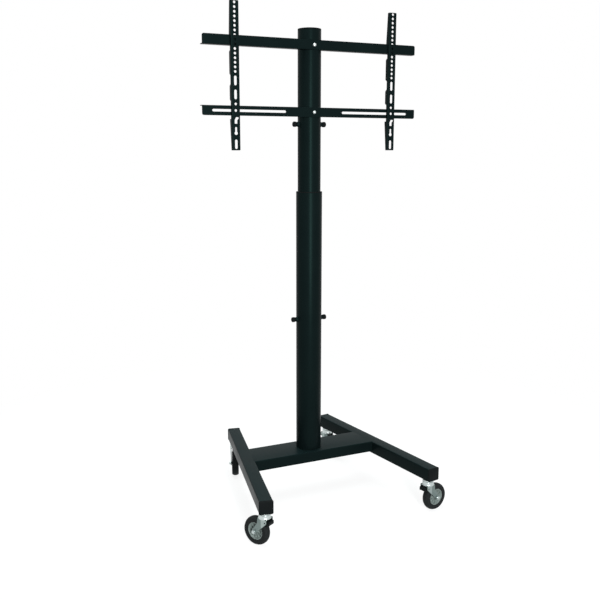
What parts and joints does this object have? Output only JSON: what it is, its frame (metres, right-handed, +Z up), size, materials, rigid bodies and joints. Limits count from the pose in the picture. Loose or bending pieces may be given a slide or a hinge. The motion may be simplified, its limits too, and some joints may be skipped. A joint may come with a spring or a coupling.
{
  "type": "mobile tv stand",
  "caption": "Rolling floor stand that carries a flat screen on hook-on arms, cross rails and a telescoping column, with swivel casters that have foot brakes.",
  "frame": {"origin": "on the floor, at the middle of the stand's footprint: midway between the rail ends, and midway between the front and rear ends of the legs", "axes": "+Z up along the column, +X along the rails towards the viewer's right when facing the screen side, -Y towards the screen side"},
  "size_m": [0.69, 0.5802, 1.5055],
  "materials": {
    "painted_steel": "satin black powder coat",
    "black_plastic": "fine matt black moulding",
    "zinc_plate": "bright zinc plate",
    "caster_tread": "dark grey rubber, dull",
    "caster_hub": "mid grey nylon",
    "caster_pedal": "black nylon"
  },
  "bodies": {
    "base": {"cross_member": "painted_steel", "left_leg": "painted_steel", "right_leg": "painted_steel", "front_left_end_cap": "black_plastic", "front_right_end_cap": "black_plastic", "rear_left_end_cap": "black_plastic", "rear_right_end_cap": "black_plastic", "lower_tube": "painted_steel", "foot_plate": "painted_steel", "foot_bolt_left": "zinc_plate", "foot_bolt_right": "zinc_plate", "guide_collar": "black_plastic", "lower_left_boss": "painted_steel", "lower_right_boss": "painted_steel", "front_left_stem": "zinc_plate", "front_right_stem": "zinc_plate", "rear_left_stem": "zinc_plate", "rear_right_stem": "zinc_plate"},
    "mast": {"upper_tube": "painted_steel", "glide_ring": "black_plastic", "top_cap": "black_plastic", "upper_rail": "painted_steel", "lower_rail": "painted_steel", "upper_rail_bolt": "zinc_plate", "lower_rail_bolt": "zinc_plate", "upper_rail_nut": "zinc_plate", "lower_rail_nut": "zinc_plate", "upper_left_boss": "painted_steel", "upper_right_boss": "painted_steel"},
    "left_arm": {"left_arm": "painted_steel"},
    "right_arm": {"right_arm": "painted_steel"},
    "lower_left_knob": {"lower_left_knob": "black_plastic"},
    "lower_right_knob": {"lower_right_knob": "black_plastic"},
    "upper_left_knob": {"upper_left_knob": "black_plastic"},
    "upper_right_knob": {"upper_right_knob": "black_plastic"},
    "front_left_swivel": {"front_left_fork": "zinc_plate", "front_left_axle_bolt": "zinc_plate", "front_left_axle_nut": "zinc_plate"},
    "front_left_wheel": {"front_left_tyre": "caster_tread", "front_left_hub": "caster_hub"},
    "front_left_brake": {"front_left_brake_pedal": "caster_pedal"},
    "front_right_swivel": {"front_right_fork": "zinc_plate", "front_right_axle_bolt": "zinc_plate", "front_right_axle_nut": "zinc_plate"},
    "front_right_wheel": {"front_right_tyre": "caster_tread", "front_right_hub": "caster_hub"},
    "front_right_brake": {"front_right_brake_pedal": "caster_pedal"},
    "rear_left_swivel": {"rear_left_fork": "zinc_plate", "rear_left_axle_bolt": "zinc_plate", "rear_left_axle_nut": "zinc_plate"},
    "rear_left_wheel": {"rear_left_tyre": "caster_tread", "rear_left_hub": "caster_hub"},
    "rear_left_brake": {"rear_left_brake_pedal": "caster_pedal"},
    "rear_right_swivel": {"rear_right_fork": "zinc_plate", "rear_right_axle_bolt": "zinc_plate", "rear_right_axle_nut": "zinc_plate"},
    "rear_right_wheel": {"rear_right_tyre": "caster_tread", "rear_right_hub": "caster_hub"},
    "rear_right_brake": {"rear_right_brake_pedal": "caster_pedal"}
  },
  "joints": [
    {"name": "mast_slide", "type": "slide", "parent": "base", "child": "mast", "axis": [0, 0, 1], "range_m": [-0.18, 0.18]},
    {"name": "left_arm_slide", "type": "slide", "parent": "mast", "child": "left_arm", "axis": [1, 0, 0], "range_m": [-0.062, 0.153]},
    {"name": "right_arm_slide", "type": "slide", "parent": "mast", "child": "right_arm", "axis": [1, 0, 0], "range_m": [-0.16, 0.056]},
    {"name": "lower_left_knob_turn", "type": "hinge", "parent": "base", "child": "lower_left_knob", "pos_m": [-0.05, 0.03644, 0.576], "axis": [-1, 0, 0], "range_deg": [0, 720]},
    {"name": "lower_right_knob_turn", "type": "hinge", "parent": "base", "child": "lower_right_knob", "pos_m": [0.05, 0.03644, 0.576], "axis": [1, 0, 0], "range_deg": [0, 720]},
    {"name": "upper_left_knob_turn", "type": "hinge", "parent": "mast", "child": "upper_left_knob", "pos_m": [-0.05, 0.03644, 1.1755], "axis": [-1, 0, 0], "range_deg": [0, 720]},
    {"name": "upper_right_knob_turn", "type": "hinge", "parent": "mast", "child": "upper_right_knob", "pos_m": [0.05, 0.03644, 1.1755], "axis": [1, 0, 0], "range_deg": [0, 720]},
    {"name": "front_left_swivel_turn", "type": "hinge", "parent": "base", "child": "front_left_swivel", "pos_m": [-0.26961, -0.26196, 0.096], "axis": [0, 0, 1], "continuous": true},
    {"name": "front_left_wheel_spin", "type": "hinge", "parent": "front_left_swivel", "child": "front_left_wheel", "pos_m": [-0.28362, -0.23771, 0.042], "axis": [0.866, 0.5, 0], "continuous": true},
    {"name": "front_left_brake_press", "type": "hinge", "parent": "front_left_swivel", "child": "front_left_brake", "pos_m": [-0.26361, -0.27235, 0.08], "axis": [0.866, 0.5, 0], "range_deg": [0, 20]},
    {"name": "front_right_swivel_turn", "type": "hinge", "parent": "base", "child": "front_right_swivel", "pos_m": [0.26961, -0.26196, 0.096], "axis": [0, 0, 1], "continuous": true},
    {"name": "front_right_wheel_spin", "type": "hinge", "parent": "front_right_swivel", "child": "front_right_wheel", "pos_m": [0.2969, -0.25566, 0.042], "axis": [0.225, -0.9744, 0], "continuous": true},
    {"name": "front_right_brake_press", "type": "hinge", "parent": "front_right_swivel", "child": "front_right_brake", "pos_m": [0.25792, -0.26466, 0.08], "axis": [0.225, -0.9744, 0], "range_deg": [0, 20]},
    {"name": "rear_left_swivel_turn", "type": "hinge", "parent": "base", "child": "rear_left_swivel", "pos_m": [-0.17724, 0.26196, 0.096], "axis": [0, 0, 1], "continuous": true},
    {"name": "rear_left_wheel_spin", "type": "hinge", "parent": "rear_left_swivel", "child": "rear_left_wheel", "pos_m": [-0.18635, 0.23548, 0.042], "axis": [-0.9455, 0.3256, 0], "continuous": true},
    {"name": "rear_left_brake_press", "type": "hinge", "parent": "rear_left_swivel", "child": "rear_left_brake", "pos_m": [-0.17333, 0.27331, 0.08], "axis": [-0.9455, 0.3256, 0], "range_deg": [0, 20]},
    {"name": "rear_right_swivel_turn", "type": "hinge", "parent": "base", "child": "rear_right_swivel", "pos_m": [0.17724, 0.26196, 0.096], "axis": [0, 0, 1], "continuous": true},
    {"name": "rear_right_wheel_spin", "type": "hinge", "parent": "rear_right_swivel", "child": "rear_right_wheel", "pos_m": [0.18681, 0.23565, 0.042], "axis": [-0.9397, -0.342, 0], "continuous": true},
    {"name": "rear_right_brake_press", "type": "hinge", "parent": "rear_right_swivel", "child": "rear_right_brake", "pos_m": [0.17313, 0.27324, 0.08], "axis": [-0.9397, -0.342, 0], "range_deg": [0, 20]}
  ]
}
